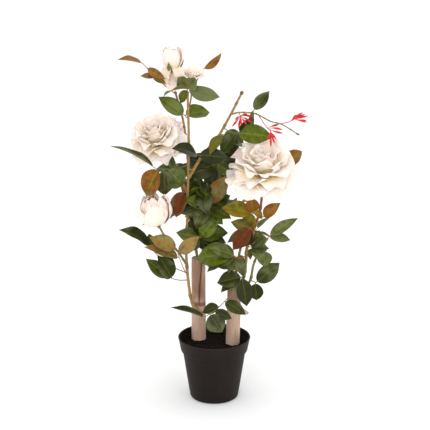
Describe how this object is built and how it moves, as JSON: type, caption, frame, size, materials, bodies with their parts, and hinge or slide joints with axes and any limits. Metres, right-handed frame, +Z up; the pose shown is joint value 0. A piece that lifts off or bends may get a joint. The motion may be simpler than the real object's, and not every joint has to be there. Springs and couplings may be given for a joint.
{
  "type": "artificial potted rose bush",
  "caption": "Artificial rose bush in a round nursery pot, with wooden stakes as trunks, moulded stems, ivory cloth roses, small red blossom and sprays of green and bronze leaves.",
  "frame": {"origin": "centre of the pot's flat underside", "axes": "+Z up, +X to the right and -Y to the front as the picture shows it"},
  "size_m": [0.4401, 0.3076, 0.8304],
  "materials": {
    "pot": "moulded, matte black-brown",
    "filling": "dark crumbly filling",
    "wood": "peeled, dry",
    "stem": "moulded, tan",
    "petals": "ivory cloth",
    "leaves": "green cloth with printed veins",
    "bronze_leaves": "bronze cloth with printed veins",
    "blossom": "red cloth"
  },
  "bodies": {
    "root": {"bloom_side": "petals", "blossom_red_inner": "blossom", "blossom_red_middle": "blossom", "blossom_red_outer": "blossom", "bud_top": "petals", "filling": "filling", "leaf_behind_right_rose": "leaves", "leaf_bronze_peak": "bronze_leaves", "leaf_bronze_right": "bronze_leaves", "leaf_left_narrow": "leaves", "leaf_right_round": "leaves", "leaf_rust_left": "bronze_leaves", "leaves_above_right_rose": "leaves", "leaves_back_1": "leaves", "leaves_back_2": "leaves", "leaves_back_3": "leaves", "leaves_back_4": "leaves", "leaves_back_5": "leaves", "leaves_back_6": "leaves", "leaves_back_7": "leaves", "leaves_bright_low": "leaves", "leaves_bronze_top": "bronze_leaves", "leaves_bronze_trio": "bronze_leaves", "leaves_bud_stem": "leaves", "leaves_centre_low": "leaves", "leaves_centre_middle": "leaves", "leaves_centre_top": "leaves", "leaves_centre_upper": "leaves", "leaves_cross": "leaves", "leaves_fork": "leaves", "leaves_left": "leaves", "leaves_left_low": "leaves", "leaves_low_front": "leaves", "leaves_right_end": "leaves", "leaves_right_low": "leaves", "leaves_right_stem": "leaves", "leaves_rust_fold": "bronze_leaves", "leaves_top": "leaves", "leaves_trunk_right": "leaves", "leaves_twig": "leaves", "leaves_under_right_rose": "leaves", "pot": "pot", "rose_back": "petals", "rose_half_open": "petals", "rose_left": "petals", "rose_right": "petals", "stem_back_left": "stem", "stem_back_right": "stem", "stem_bud": "stem", "stem_centre": "stem", "stem_half_rose": "stem", "stem_left_rose": "stem", "stem_right": "stem", "stem_right_rose": "stem", "stem_right_spray": "stem", "stem_side_bloom": "stem", "stem_tall": "stem", "stem_twig": "stem", "trunk_left": "wood", "trunk_right": "wood"}
  },
  "joints": []
}
